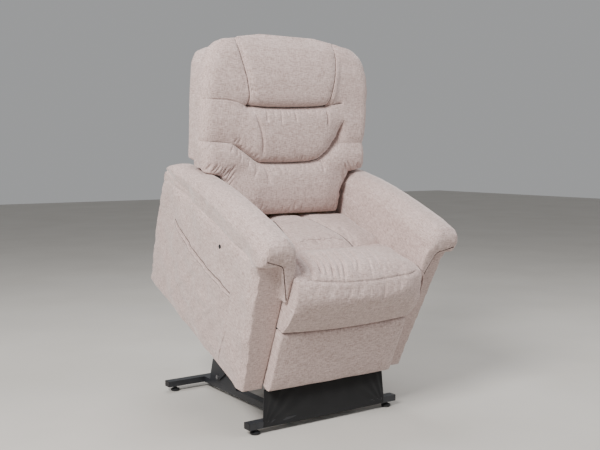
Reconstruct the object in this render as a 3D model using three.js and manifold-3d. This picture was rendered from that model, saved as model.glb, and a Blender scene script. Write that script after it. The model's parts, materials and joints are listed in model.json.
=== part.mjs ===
// Lift recliner chair, standing raised and tipped forward, with its footrest closed and its back upright.
// Millimetres. +X is the sitter's left, -Y is the front, +Z is up.
import * as THREE from 'three';
import { mergeVertices } from 'three/addons/utils/BufferGeometryUtils.js';
import Module from 'manifold-3d';

const wasm = await Module();
wasm.setup();

// ---- driving dimensions -------------------------------------------------------------------------
const DEPTH_CENTRE = 224.8;    // from the front base tube back to the middle of the whole footprint
const GAP = 0.3;               // left between pieces that touch

// Base
const TUBE = { depth: 36, height: 23, wall: 2, bottom: 21 };
const FRONT_TUBE_LENGTH = 660;
const REAR_TUBE_LENGTH = 637;
const REAR_TUBE_Y = 660;
const RAIL_X = 137;
const CAP_FLANGE = 3;
const FOOT_X = { front: 296, rear: 282 };
const STEM_RADIUS = 4;

// Lift linkage. Points are [y, z]: the first two on the base, the other two on the chair.
const UPPER_BASE_PIVOT = [403.7, 104.8];
const LOWER_BASE_PIVOT = [508, 72];
const UPPER_CHAIR_PIVOT = [201.4, 50.4];
const LOWER_CHAIR_PIVOT = [236, 31.4];
const PLATE_X = [150, 155];            // riser brackets and carrier plates share this plane
const INNER_LINK_X = [144, 149];
const OUTER_LINK_X = [160, 165];
const FRONT_LINK_X = [166, 171];
const BRACKET_EAR_X = [172.3, 176.3];
const PIN_RADIUS = 6;
const PIN_HOLE = 6.4;
const PIN_HEAD_RADIUS = 9;
const CROSS_SHAFT_RADIUS = 12;
const LIFT_CRANK = { radius: 100, angle: 96 };
const LIFT_MOTOR_PIVOT = [45, 62];
const RISER = { front: 378, rear: 592, flange: 4 };

// Cloth curtain over the front tube
const VALANCE = { bottom: 23, top: 158, bottomHalf: 272, topHalf: 260, lean: 0.06, front: -21.8, rear: -20 };

// The chair's own frame: its origin is the bottom front edge of the arms
const CHAIR_TILT = 23.1;
const CHAIR_ORIGIN = [-8.25, 159.3];
const SIDE_DEPTH = 788;
const SIDE_TOP_Z = 500;
const SIDE_TOP_REAR_Y = 735;
// The sides lean outward as they rise: the inner face a little, the outer face more
const SIDE_INNER = { foot: 270, flare: 0.02 };
const SIDE_OUTER = { foot: 360, flare: 0.096 };
const CROSS_BAR = { size: 25, front: [112, 288], rear: [470, 285] };
const POWER_SUPPLY = { x: [-138, -70], y: [350, 445], z: [213, 262] };
const POCKET_THICKNESS = 4.4;
const POCKET_GAP = 0.6;
const CONTROL_SOCKET = { centre: [243, 441], radius: 9, proud: 5 };
const SEAT_HALF_WIDTH = 273;

// Footrest linkage, in the chair's frame
const FOOTREST_PIVOT = [70, 240];
const FOOTREST_LINK = 220;
const FOOTREST_MOUNT = [36, 130];

// Back, in the chair's frame
const BACK_HINGE = [600, 330];
const BACK_FRONT_EDGE = [475, 420];
const BACK_LEAN = 14.5;
const BACK_LEVER = { radius: 95, angle: 276 };
const BACK_MOTOR_PIVOT = [135, 262];
const BACK_MOTOR_X = 60;
const BACK_HINGE_RADIUS = 8;

// Back cushions, in the back's frame: y of their faces, and [x, s] or s of the seams between them
const CUSHION = { lower: -24, lumbar: -20, wing: -6, rear: 75 };
const LOBE_BOTTOM = 190;
const LUMBAR_CREASE = 210;
const WING_SEAM = 289;
const UPPER_SEAM = [[181, 422], [235, 437], [300, 446], [374, 448]];
const PILLOW = { bottom: 424, halfWidth: 180, spread: 0.155 };
const WING_LEAN = 0.12;

// ---- materials ----------------------------------------------------------------------------------
const finish = (color, roughness, metalness = 0) =>
  new THREE.MeshStandardMaterial({ color, roughness, metalness });
const FABRIC = finish(0xb7a69d, 0.95);
const BLACK_CLOTH = finish(0x17171a, 0.9);
const BLACK_STEEL = finish(0x24262a, 0.5, 0.6);
const ZINC = finish(0xb4b6b8, 0.35, 0.9);
const BLACK_PLASTIC = finish(0x151517, 0.55);
const GREY_PLASTIC = finish(0x3a3c40, 0.6);
const PLYWOOD = finish(0xb98f62, 0.8);

// ---- geometry helpers ---------------------------------------------------------------------------
const X = new THREE.Vector3(1, 0, 0);
const Y = new THREE.Vector3(0, 1, 0);
const Z = new THREE.Vector3(0, 0, 1);
const radians = THREE.MathUtils.degToRad;

function toSolid(geometry) {
  const bare = geometry.clone();
  bare.deleteAttribute('normal');
  bare.deleteAttribute('uv');
  const merged = mergeVertices(bare, 1e-3);
  return new wasm.Manifold(new wasm.Mesh({
    numProp: 3,
    vertProperties: new Float32Array(merged.attributes.position.array),
    triVerts: new Uint32Array(merged.index.array),
  }));
}

function toGeometry(solid) {
  const mesh = solid.getMesh();
  const geometry = new THREE.BufferGeometry();
  geometry.setAttribute('position', new THREE.BufferAttribute(mesh.vertProperties, 3));
  geometry.setIndex(new THREE.BufferAttribute(mesh.triVerts, 1));
  return geometry;
}

const join = (...pieces) => toGeometry(pieces.map(toSolid).reduce((sum, piece) => sum.add(piece)));
const cut = (piece, ...tools) =>
  toGeometry(tools.reduce((rest, tool) => rest.subtract(toSolid(tool)), toSolid(piece)));

// Moves every vertex by a rule that takes and changes a point.
function bend(geometry, rule) {
  const position = geometry.attributes.position;
  const point = new THREE.Vector3();
  for (let i = 0; i < position.count; i += 1) {
    point.fromBufferAttribute(position, i);
    rule(point);
    position.setXYZ(i, point.x, point.y, point.z);
  }
  return geometry;
}

// The mirror image across x = 0, with its faces turned outward again.
function mirrorX(geometry) {
  const flipped = geometry.index ? geometry.toNonIndexed() : geometry.clone();
  flipped.scale(-1, 1, 1);
  const position = flipped.attributes.position;
  const second = new THREE.Vector3();
  const third = new THREE.Vector3();
  for (let i = 0; i < position.count; i += 3) {
    second.fromBufferAttribute(position, i + 1);
    third.fromBufferAttribute(position, i + 2);
    position.setXYZ(i + 1, third.x, third.y, third.z);
    position.setXYZ(i + 2, second.x, second.y, second.z);
  }
  return flipped;
}

const forSide = (side, geometry) => (side > 0 ? geometry : mirrorX(geometry));

function polygon(points) {
  return new THREE.Shape(points.map(([u, v]) => new THREE.Vector2(u, v)));
}

function hole(shape, [u, v], radius) {
  const path = new THREE.Path();
  path.absarc(u, v, radius, 0, Math.PI * 2, true);
  shape.holes.push(path);
  return shape;
}

// A flat bar with round ends on two points, drawn in (y, z).
function bar(from, to, radius) {
  const angle = Math.atan2(to[1] - from[1], to[0] - from[0]);
  const shape = new THREE.Shape();
  shape.absarc(from[0], from[1], radius, angle + Math.PI / 2, angle + Math.PI * 1.5, false);
  shape.absarc(to[0], to[1], radius, angle - Math.PI / 2, angle + Math.PI / 2, false);
  return shape;
}

// A plate whose outline is drawn in (y, z) and which spans x.
function plate(shape, [x0, x1], curveSegments = 8) {
  const geometry = new THREE.ExtrudeGeometry(shape, { depth: x1 - x0, bevelEnabled: false, curveSegments });
  return geometry.applyMatrix4(new THREE.Matrix4().makeBasis(Y, Z, X)).translate(x0, 0, 0);
}

// A slab whose outline is drawn in (x, z) and which spans y, with rounded edges.
function slab(shape, [y0, y1], edge = 0, curveSegments = 6) {
  const geometry = new THREE.ExtrudeGeometry(shape, {
    depth: y1 - y0 - 2 * edge,
    bevelEnabled: edge > 0,
    bevelThickness: edge,
    bevelSize: edge,
    bevelOffset: -edge,
    bevelSegments: 2,
    curveSegments,
  });
  const inward = new THREE.Vector3(0, -1, 0);
  return geometry.applyMatrix4(new THREE.Matrix4().makeBasis(X, Z, inward)).translate(0, y1 - edge, 0);
}

function box([x0, x1], [y0, y1], [z0, z1]) {
  const geometry = new THREE.BoxGeometry(x1 - x0, y1 - y0, z1 - z0);
  return geometry.translate((x0 + x1) / 2, (y0 + y1) / 2, (z0 + z1) / 2);
}

function pinX(radius, [x0, x1], [y, z], segments = 16) {
  const geometry = new THREE.CylinderGeometry(radius, radius, x1 - x0, segments);
  return geometry.rotateZ(Math.PI / 2).translate((x0 + x1) / 2, y, z);
}

function pinY(radius, [y0, y1], [x, z], segments = 16) {
  const geometry = new THREE.CylinderGeometry(radius, radius, y1 - y0, segments);
  return geometry.translate(x, (y0 + y1) / 2, z);
}

// Joins closed loops of points, all with the same count, into one closed skin.
function loft(loops) {
  const count = loops[0].length;
  const last = (loops.length - 1) * count;
  const index = [];
  for (let ring = 0; ring < last; ring += count) {
    for (let i = 0; i < count; i += 1) {
      const a = ring + i;
      const b = ring + ((i + 1) % count);
      index.push(a, a + count, b, b, a + count, b + count);
    }
  }
  for (let i = 1; i < count - 1; i += 1) {
    index.push(0, i, i + 1, last, last + i + 1, last + i);
  }
  const geometry = new THREE.BufferGeometry();
  geometry.setAttribute('position', new THREE.Float32BufferAttribute(loops.flat(2), 3));
  geometry.setIndex(index);
  return geometry;
}

const polar = ([y, z], radius, degrees) =>
  [y + radius * Math.cos(radians(degrees)), z + radius * Math.sin(radians(degrees))];
const span = (from, to) => Math.hypot(to[0] - from[0], to[1] - from[1]);
const bearing = (from, to) => Math.atan2(to[1] - from[1], to[0] - from[0]);

// Where two links of one length meet, on the rear side of the line between their ends.
function knee(from, to, length) {
  const half = span(from, to) / 2;
  const rise = Math.sqrt(length * length - half * half);
  const across = bearing(from, to) + Math.PI / 2;
  const middle = [(from[0] + to[0]) / 2, (from[1] + to[1]) / 2];
  return [middle[0] + rise * Math.cos(across), middle[1] + rise * Math.sin(across)];
}

// A point of the chair's frame as it stands in the base's frame.
function onChair([y, z]) {
  const tilt = radians(CHAIR_TILT);
  return [
    CHAIR_ORIGIN[0] + y * Math.cos(tilt) - z * Math.sin(tilt),
    CHAIR_ORIGIN[1] + y * Math.sin(tilt) + z * Math.cos(tilt),
  ];
}

function piece(group, name, geometry, material) {
  const mesh = new THREE.Mesh(geometry, material);
  mesh.name = name;
  group.add(mesh);
}

const SIDES = [[1, 'left'], [-1, 'right']];

// ---- base ---------------------------------------------------------------------------------------
function hollowTube(length, alongX) {
  const { depth, height, wall, bottom } = TUBE;
  const outline = (inset) => [
    [-depth / 2 + inset, bottom + inset], [depth / 2 - inset, bottom + inset],
    [depth / 2 - inset, bottom + height - inset], [-depth / 2 + inset, bottom + height - inset],
  ];
  const shape = polygon(outline(0));
  shape.holes.push(new THREE.Path(outline(wall).map(([u, v]) => new THREE.Vector2(u, v))));
  return alongX ? plate(shape, [-length / 2, length / 2]) : slab(shape, [-length / 2, length / 2]);
}

function crossTube(length, y, footX) {
  const stemHole = (x) => new THREE.CylinderGeometry(STEM_RADIUS + 0.5, STEM_RADIUS + 0.5, 8, 16)
    .rotateX(Math.PI / 2).translate(x, 0, TUBE.bottom);
  const tube = cut(hollowTube(length - 2 * (CAP_FLANGE + GAP), true), stemHole(footX), stemHole(-footX));
  return tube.translate(0, y, 0);
}

function endCap(side, length, y) {
  const { depth, height, wall, bottom } = TUBE;
  const end = length / 2;
  const slack = wall + GAP;
  const flange = box([end - CAP_FLANGE, end], [-depth / 2, depth / 2], [bottom, bottom + height]);
  const plug = box([end - 14, end - CAP_FLANGE + 0.5], [-depth / 2 + slack, depth / 2 - slack],
    [bottom + slack, bottom + height - slack]);
  return forSide(side, join(flange, plug)).translate(0, y, 0);
}

function levellingFoot(x, y) {
  const profile = [[0, 0], [16, 0], [18, 2], [18, 8], [11, 12], [7, 12.5], [7, 19.5],
    [STEM_RADIUS, 19.5], [STEM_RADIUS, 36], [0, 36]];
  const geometry = new THREE.LatheGeometry(profile.map(([r, h]) => new THREE.Vector2(r, h)), 16);
  return geometry.rotateX(Math.PI / 2).translate(x, y, 0);
}

function riserBracket() {
  const top = TUBE.bottom + TUBE.height + GAP;
  const web = polygon([[RISER.front, top], [RISER.rear, top], [588, 66], [568, 132], [556, 139], [520, 139],
    [440, 124], [398, 124], [384, 108]]);
  hole(web, UPPER_BASE_PIVOT, PIN_HOLE);
  hole(web, LOWER_BASE_PIVOT, PIN_HOLE);
  const flange = box([RAIL_X - TUBE.depth / 2, PLATE_X[0] + 1], [RISER.front, RISER.rear],
    [top, top + RISER.flange]);
  return join(plate(web, PLATE_X), flange);
}

function lowerLinkPin() {
  const shank = pinX(PIN_RADIUS, [147, OUTER_LINK_X[1] + 3], LOWER_BASE_PIVOT);
  const innerHead = pinX(PIN_HEAD_RADIUS, [145, PLATE_X[0] - GAP], LOWER_BASE_PIVOT);
  const outerHead = pinX(PIN_HEAD_RADIUS, [OUTER_LINK_X[1] + GAP, OUTER_LINK_X[1] + 5], LOWER_BASE_PIVOT, 6);
  return join(shank, innerHead, outerHead);
}

// From the front tube up to the chair's front edge. It leans back as it rises.
function valance() {
  const { bottom, top, bottomHalf, topHalf, lean, front, rear } = VALANCE;
  const outline = polygon([[-bottomHalf, bottom], [bottomHalf, bottom], [topHalf, top], [-topHalf, top]]);
  return bend(slab(outline, [front, rear]), (point) => { point.y += (point.z - bottom) * lean; });
}

function motorMount() {
  const ear = polygon([[6, 43], [57, 43], [57, 66], [50, 74], [40, 74], [33, 66]]);
  hole(ear, LIFT_MOTOR_PIVOT, PIN_HOLE);
  const top = TUBE.bottom + TUBE.height;
  const foot = box([-30, 30], [-16, 17.5], [top + GAP, top + 4]);
  const shelf = box([-14, 14], [10, 34], [top + GAP, top + 4]);
  const ears = [[8, 14], [-14, -8]].map((x) => cut(plate(ear, x), box([-20, 20], [0, 60], [0, top + GAP])));
  return join(foot, shelf, ...ears);
}

function addBase(group) {
  piece(group, 'front_cross_tube', crossTube(FRONT_TUBE_LENGTH, 0, FOOT_X.front), BLACK_STEEL);
  piece(group, 'rear_cross_tube', crossTube(REAR_TUBE_LENGTH, REAR_TUBE_Y, FOOT_X.rear), BLACK_STEEL);
  const railLength = REAR_TUBE_Y - TUBE.depth - 2 * GAP;
  for (const [side, label] of SIDES) {
    const rail = hollowTube(railLength, false).translate(side * RAIL_X, REAR_TUBE_Y / 2, 0);
    piece(group, `side_rail_${label}`, rail, BLACK_STEEL);
    piece(group, `riser_bracket_${label}`, forSide(side, riserBracket()), BLACK_STEEL);
    piece(group, `lower_link_pin_${label}`, forSide(side, lowerLinkPin()), ZINC);
    piece(group, `front_tube_cap_${label}`, endCap(side, FRONT_TUBE_LENGTH, 0), BLACK_PLASTIC);
    piece(group, `rear_tube_cap_${label}`, endCap(side, REAR_TUBE_LENGTH, REAR_TUBE_Y), BLACK_PLASTIC);
    piece(group, `front_foot_${label}`, levellingFoot(side * FOOT_X.front, 0), BLACK_PLASTIC);
    piece(group, `rear_foot_${label}`, levellingFoot(side * FOOT_X.rear, REAR_TUBE_Y), BLACK_PLASTIC);
  }
  piece(group, 'lift_motor_mount', motorMount(), BLACK_STEEL);
  piece(group, 'front_valance', valance(), BLACK_CLOTH);
}

// ---- lift linkage -------------------------------------------------------------------------------
function pivotedBar(from, to, radius, x, farHole = PIN_HOLE) {
  const shape = bar(from, to, radius);
  hole(shape, from, PIN_HOLE);
  hole(shape, to, farHole);
  return plate(shape, x);
}

function torqueTube(crankPin) {
  const ends = SIDES.map(([side]) => forSide(side, join(
    pinX(PIN_RADIUS, [140, 158], UPPER_BASE_PIVOT),
    pinX(PIN_HEAD_RADIUS, [PLATE_X[1] + GAP, 159], UPPER_BASE_PIVOT, 6),
  )));
  const tube = pinX(CROSS_SHAFT_RADIUS, [-INNER_LINK_X[0] + GAP, INNER_LINK_X[0] - GAP], UPPER_BASE_PIVOT);
  const ears = [[11, 17], [-17, -11]].map((x) => plate(bar(UPPER_BASE_PIVOT, crankPin, 12), x));
  return join(tube, ...ends, ...ears, pinX(5, [-13, 13], crankPin));
}

// A linear drive drawn along +Y from its rear eye, with a blind bore for its rod.
function driveBody({ tubeEnd, boreStart, motorX }) {
  const eye = cut(join(pinX(11, [-7, 7], [0, 0]), box([-7, 7], [0, 20], [-9, 9])),
    pinX(PIN_HOLE, [-9, 9], [0, 0]));
  const housing = box([-30, 30], [18, 108], [-27, 27]);
  const motor = pinX(25, [25, motorX], [62, 0], 20);
  const tube = pinY(17, [100, tubeEnd], [0, 0], 20);
  return cut(join(eye, housing, motor, tube), pinY(10.8, [boreStart, tubeEnd + 5], [0, 0]));
}

function driveRod({ start, end, bore, rim }) {
  const eye = cut(join(pinX(rim, [-7, 7], [end, 0], 20), pinY(10, [start, end - bore - 1], [0, 0])),
    pinX(bore, [-9, 9], [end, 0], 20));
  return eye;
}

// Places a drive's pieces along the line from its pivot to the pin that it moves.
function driveGroup(parent, pivot, target, x) {
  const group = new THREE.Group();
  group.position.set(x, pivot[0], pivot[1]);
  group.rotation.x = bearing(pivot, target);
  parent.add(group);
  return group;
}

function addLift(group) {
  const upperEnd = onChair(UPPER_CHAIR_PIVOT);
  const lowerEnd = onChair(LOWER_CHAIR_PIVOT);
  const crankPin = polar(UPPER_BASE_PIVOT, LIFT_CRANK.radius, LIFT_CRANK.angle);
  for (const [side, label] of SIDES) {
    const upper = pivotedBar(UPPER_BASE_PIVOT, upperEnd, 15, INNER_LINK_X);
    const lower = pivotedBar(LOWER_BASE_PIVOT, lowerEnd, 13, OUTER_LINK_X, PIN_RADIUS + 0.8);
    piece(group, `upper_lift_link_${label}`, forSide(side, upper), BLACK_STEEL);
    piece(group, `lower_lift_link_${label}`, forSide(side, lower), BLACK_STEEL);
  }
  piece(group, 'lift_torque_tube', torqueTube(crankPin), BLACK_STEEL);
  const length = span(LIFT_MOTOR_PIVOT, crankPin);
  const drive = driveGroup(group, LIFT_MOTOR_PIVOT, crankPin, 0);
  piece(drive, 'lift_motor', driveBody({ tubeEnd: 285, boreStart: 130, motorX: 110 }), GREY_PLASTIC);
  piece(drive, 'lift_rod', driveRod({ start: 205, end: length, bore: 10.2, rim: 15 }), ZINC);
}

// ---- chair frame --------------------------------------------------------------------------------
const sideInnerX = (z) => SIDE_INNER.foot + SIDE_INNER.flare * z;
const sideOuterX = (z) => SIDE_OUTER.foot + SIDE_OUTER.flare * z;

function carrierPlate() {
  const shape = polygon([[48, 222], [48, 258], [90, 308], [450, 308], [520, 318], [578, 352], [622, 352],
    [627, 316], [560, 262], [430, 238], [330, 200], [285, 60], [262, 12], [215, 8], [172, 38], [176, 76],
    [130, 200], [90, 218]].reverse());
  hole(shape, FOOTREST_PIVOT, PIN_HOLE);
  hole(shape, BACK_HINGE, BACK_HINGE_RADIUS + 0.4);
  const studs = [
    pinX(PIN_RADIUS, [INNER_LINK_X[0] - 3, PLATE_X[0] + 2], UPPER_CHAIR_PIVOT),
    pinX(PIN_RADIUS, [PLATE_X[1] - 2, OUTER_LINK_X[1] + 3], LOWER_CHAIR_PIVOT),
  ];
  const clear = CROSS_BAR.size / 2 + GAP;
  const slots = [CROSS_BAR.front, CROSS_BAR.rear].map(([y, z]) =>
    box([140, 160], [y - clear, y + clear], [z - clear, z + clear]));
  return cut(join(plate(shape, PLATE_X), ...studs), ...slots);
}

function crossBar([y, z]) {
  const half = CROSS_BAR.size / 2;
  const reach = sideInnerX(z - half) - GAP;
  return box([-reach, reach], [y - half, y + half], [z - half, z + half]);
}

function frontCrossBar() {
  const ear = hole(bar(CROSS_BAR.front, BACK_MOTOR_PIVOT, 11), BACK_MOTOR_PIVOT, PIN_HOLE);
  const ears = [8, -14].map((x) => plate(ear, [BACK_MOTOR_X + x, BACK_MOTOR_X + x + 6]));
  return join(crossBar(CROSS_BAR.front), ...ears);
}

function powerSupply() {
  const body = box(POWER_SUPPLY.x, POWER_SUPPLY.y, POWER_SUPPLY.z);
  const inlet = box([-118, -92], [444, 452], [228, 246]);
  const socket = box([-114, -96], [437, 455], [232, 242]);
  return cut(join(body, inlet), socket);
}

// ---- upholstery ---------------------------------------------------------------------------------
function armSide() {
  const outline = polygon([[0, 0], [SIDE_DEPTH, 0], [SIDE_TOP_REAR_Y, SIDE_TOP_Z], [0, SIDE_TOP_Z]]);
  return bend(plate(outline, [0, 1]), (point) => {
    point.x = point.x > 0.5 ? sideOuterX(point.z) : sideInnerX(point.z);
  });
}

// One cross-section of an arm pad: flat below, crowned above, overhanging the side.
function padSection([y, inner, outer, bottom, top]) {
  const width = outer - inner;
  const height = top - bottom;
  return [
    [inner + 4, y, bottom], [outer - 10, y, bottom], [outer, y, bottom + height * 0.5],
    [outer - width * 0.1, y, top - height * 0.1], [inner + width * 0.62, y, top],
    [inner + width * 0.3, y, top - height * 0.02], [inner + width * 0.08, y, top - height * 0.14],
    [inner, y, bottom + height * 0.5],
  ];
}

// Stations along the pad: [y, inner x, outer x, bottom z, top z], nose first.
const PAD_STATIONS = [
  [-39, 302, 406, 528, 568], [-30, 290, 418, 512, 588], [-10, 283, 423, 502, 602],
  [60, 281, 423, 501, 611], [200, 281, 421, 501, 613], [350, 283, 418, 501, 609],
  [470, 287, 415, 501, 596], [590, 289, 412, 501, 576], [690, 290, 408, 501, 554],
  [730, 291, 405, 501, 530], [748, 294, 401, 501, 511],
];

function armPad() {
  const pad = loft(PAD_STATIONS.map(padSection));
  const flapShape = polygon([[280, 362], [292, 372], [330, 500], [340, 530], [290, 540], [279, 500]]);
  const flap = slab(flapShape, [-33, -0.6]);
  return join(pad, flap);
}

function sidePocket() {
  const outline = polygon([[172, 18], [600, 18], [604, 361], [572, 356], [441, 327], [300, 317], [140, 315],
    [131, 172]]);
  return bend(plate(outline, [0, 1]), (point) => {
    point.x = sideOuterX(point.z) + POCKET_GAP + POCKET_THICKNESS * point.x;
  });
}

function controlSocket() {
  const [y, z] = CONTROL_SOCKET.centre;
  const disc = pinX(CONTROL_SOCKET.radius, [0.6, CONTROL_SOCKET.proud], [0, 0], 20);
  return disc.rotateY(Math.atan(SIDE_OUTER.flare)).translate(sideOuterX(z), y, z);
}

function seatCushion() {
  const profile = [[12, 254], [12, 326], [38, 334], [45, 337], [500, 337], [500, 416], [462, 426], [450, 431],
    [330, 438], [200, 444], [60, 458], [-10, 468], [-50, 464], [-72, 446], [-80, 410], [-74, 350],
    [-60, 300], [-38, 254]];
  return plate(polygon(profile.reverse()), [-SEAT_HALF_WIDTH, SEAT_HALF_WIDTH]);
}

function addChairFrame(group) {
  for (const [side, label] of SIDES) {
    piece(group, `carrier_plate_${label}`, forSide(side, carrierPlate()), BLACK_STEEL);
  }
  piece(group, 'front_cross_bar', frontCrossBar(), BLACK_STEEL);
  piece(group, 'rear_cross_bar', crossBar(CROSS_BAR.rear), BLACK_STEEL);
  piece(group, 'seat_front_rail', box([-274, 274], [14.5, 40], [262, 326]), PLYWOOD);
  piece(group, 'seat_deck', box([-270, 270], [44, 500], [329, 333.5]), BLACK_CLOTH);
  const rear = polygon([[-268, 15], [268, 15], [275, 380], [-275, 380]]);
  piece(group, 'rear_panel', slab(rear, [736, 752], 4), FABRIC);
  piece(group, 'power_supply', powerSupply(), BLACK_PLASTIC);
}

function addArms(group) {
  for (const [side, label] of SIDES) {
    piece(group, `arm_side_${label}`, forSide(side, armSide()), FABRIC);
    piece(group, `arm_pad_${label}`, forSide(side, armPad()), FABRIC);
  }
  piece(group, 'side_pocket', mirrorX(sidePocket()), FABRIC);
  piece(group, 'control_socket', mirrorX(controlSocket()), BLACK_PLASTIC);
  piece(group, 'seat_cushion', seatCushion(), FABRIC);
}

// ---- footrest -----------------------------------------------------------------------------------
function footrestTorqueTube() {
  const ends = SIDES.map(([side]) => forSide(side, join(
    pinX(PIN_RADIUS, [140, OUTER_LINK_X[1] + 1], FOOTREST_PIVOT),
    pinX(PIN_HEAD_RADIUS, [OUTER_LINK_X[1] + GAP, OUTER_LINK_X[1] + 4], FOOTREST_PIVOT, 6),
  )));
  const shaft = pinX(CROSS_SHAFT_RADIUS, [-PLATE_X[0] + GAP, PLATE_X[0] - GAP], FOOTREST_PIVOT);
  return join(shaft, ...ends);
}

function footrestRearLink(kneePin) {
  const shape = hole(bar(FOOTREST_PIVOT, kneePin, 13), FOOTREST_PIVOT, PIN_HOLE);
  const pin = pinX(PIN_RADIUS, [OUTER_LINK_X[1] - 1, FRONT_LINK_X[1] + 2], kneePin);
  return join(plate(shape, OUTER_LINK_X), pin);
}

function footrestBracket() {
  const [y, z] = FOOTREST_MOUNT;
  const strip = box([-BRACKET_EAR_X[1], BRACKET_EAR_X[1]], [20.6, 23.6], [z - 20, z + 20]);
  const ears = SIDES.map(([side]) => forSide(side, join(
    plate(polygon([[21, z - 20], [y + 4, z - 11], [y + 11, z], [y + 4, z + 11], [21, z + 20]]), BRACKET_EAR_X),
    pinX(PIN_RADIUS, [OUTER_LINK_X[1] + 0.5, BRACKET_EAR_X[0] + 1], FOOTREST_MOUNT),
  )));
  return join(strip, ...ears);
}

function addFootrest(group) {
  const kneePin = knee(FOOTREST_PIVOT, FOOTREST_MOUNT, FOOTREST_LINK);
  for (const [side, label] of SIDES) {
    const front = pivotedBar(kneePin, FOOTREST_MOUNT, 11, FRONT_LINK_X);
    piece(group, `footrest_rear_link_${label}`, forSide(side, footrestRearLink(kneePin)), BLACK_STEEL);
    piece(group, `footrest_front_link_${label}`, forSide(side, front), BLACK_STEEL);
  }
  piece(group, 'footrest_torque_tube', footrestTorqueTube(), BLACK_STEEL);
  piece(group, 'footrest_bracket', footrestBracket(), BLACK_STEEL);
  piece(group, 'footrest_board', box([-255, 255], [8.3, 20.3], [25, 245]), PLYWOOD);
  const face = polygon([[-268, 10], [268, 10], [272, 250], [-272, 250]]);
  piece(group, 'footrest_pad', slab(face, [-40, 8], 12), FABRIC);
}

// ---- back ---------------------------------------------------------------------------------------
const pillowHalfWidth = (s) => PILLOW.halfWidth + PILLOW.spread * (s - PILLOW.bottom);

function outerShell() {
  const right = [[272, 2], [272, 165], [290, 190], [350, 206], [354, 560], [340, 600], [300, 618]];
  const left = right.map(([x, s]) => [-x, s]).reverse();
  const pocket = box([-257, 257], [CUSHION.rear, CUSHION.rear + 17], [-60, 602]);
  return cut(slab(polygon([...right, ...left]), [CUSHION.rear + 1, 160], 16), pocket);
}

function headPillow() {
  const { bottom } = PILLOW;
  const profile = [[74, bottom], [74, 676], [60, 683], [38, 676], [8, 642], [-12, 590], [-22, 520],
    [-24, 450], [-12, bottom]];
  return bend(plate(polygon(profile), [-1, 1]), (point) => {
    point.x = Math.sign(point.x) * pillowHalfWidth(point.z);
  });
}

function upperWing() {
  const outline = [...UPPER_SEAM.map(([x, s]) => [x, s + GAP]), [370, 520], [358, 575], [340, 615],
    [312, 640], [280, 654], [pillowHalfWidth(662) + 1, 662]];
  return bend(slab(polygon(outline), [CUSHION.wing, CUSHION.rear], 14), (point) => {
    const share = (CUSHION.rear - point.y) / (CUSHION.rear - CUSHION.wing);
    point.y += WING_LEAN * (point.z - UPPER_SEAM[0][1]) * share;
  });
}

function lumbarCushion() {
  const right = [[134, LUMBAR_CREASE + GAP], [223, WING_SEAM + GAP], [373, WING_SEAM + GAP],
    ...UPPER_SEAM.map(([x, s]) => [x, s - GAP]).reverse()];
  const left = right.map(([x, s]) => [-x, s]).reverse();
  return slab(polygon([...right, ...left]), [CUSHION.lumbar, CUSHION.rear]);
}

function lowerBackCushion() {
  const right = [[268, 14], [277, 150], [292, 176], [366, LOBE_BOTTOM], [373, WING_SEAM - GAP],
    [223, WING_SEAM - GAP], [134, LUMBAR_CREASE - GAP]];
  const left = right.map(([x, s]) => [-x, s]).reverse();
  return slab(polygon([...right, ...left]), [CUSHION.lower, CUSHION.rear]);
}

function backBracket(leverPin) {
  const outline = polygon([[549.5, 342], [592, 222], [628, 222], [626, 330], [612, 350], [562.5, 391]]);
  hole(outline, leverPin, 5);
  return join(plate(outline, INNER_LINK_X), pinX(BACK_HINGE_RADIUS, [INNER_LINK_X[0], 158], BACK_HINGE));
}

function addBack(group) {
  const leverPin = polar(BACK_HINGE, BACK_LEVER.radius, BACK_LEVER.angle);
  for (const [side, label] of SIDES) {
    piece(group, `back_bracket_${label}`, forSide(side, backBracket(leverPin)), BLACK_STEEL);
  }
  const leverBar = pinX(10, [-INNER_LINK_X[0] + GAP, INNER_LINK_X[0] - GAP], leverPin);
  const leverEnds = [-1, 1].map((side) => forSide(side, pinX(4.4, [140, INNER_LINK_X[1]], leverPin)));
  piece(group, 'back_lever_bar', join(leverBar, ...leverEnds), BLACK_STEEL);
  const length = span(BACK_MOTOR_PIVOT, leverPin);
  const drive = driveGroup(group, BACK_MOTOR_PIVOT, leverPin, BACK_MOTOR_X);
  piece(drive, 'back_motor', driveBody({ tubeEnd: 385, boreStart: 175, motorX: 80 }), GREY_PLASTIC);
  piece(drive, 'back_rod', driveRod({ start: 255, end: length, bore: 16.2, rim: 21 }), ZINC);

  const back = new THREE.Group();
  back.position.set(0, BACK_FRONT_EDGE[0], BACK_FRONT_EDGE[1]);
  back.rotation.x = radians(-BACK_LEAN);
  group.add(back);
  piece(back, 'back_board', box([-255, 255], [76, 90], [-60, 600]), PLYWOOD);
  piece(back, 'back_shell', outerShell(), FABRIC);
  piece(back, 'head_pillow', headPillow(), FABRIC);
  piece(back, 'lumbar_cushion', lumbarCushion(), FABRIC);
  piece(back, 'lower_back_cushion', lowerBackCushion(), FABRIC);
  for (const [side, label] of SIDES) {
    piece(back, `back_wing_${label}`, forSide(side, upperWing()), FABRIC);
  }
}

// ---- assembly -----------------------------------------------------------------------------------
function liftChair() {
  const model = new THREE.Group();
  model.position.y = -DEPTH_CENTRE;
  addBase(model);
  addLift(model);
  const chair = new THREE.Group();
  chair.position.set(0, CHAIR_ORIGIN[0], CHAIR_ORIGIN[1]);
  chair.rotation.x = radians(CHAIR_TILT);
  model.add(chair);
  addChairFrame(chair);
  addArms(chair);
  addFootrest(chair);
  addBack(chair);
  const whole = new THREE.Group();
  whole.add(model);
  return whole;
}

export default liftChair();
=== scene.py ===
"""Looks of a lift recliner chair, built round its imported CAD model."""

import json
import math

import bmesh
import bpy
import numpy as np
from mathutils import Matrix, Vector
from mathutils.bvhtree import BVHTree


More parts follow.
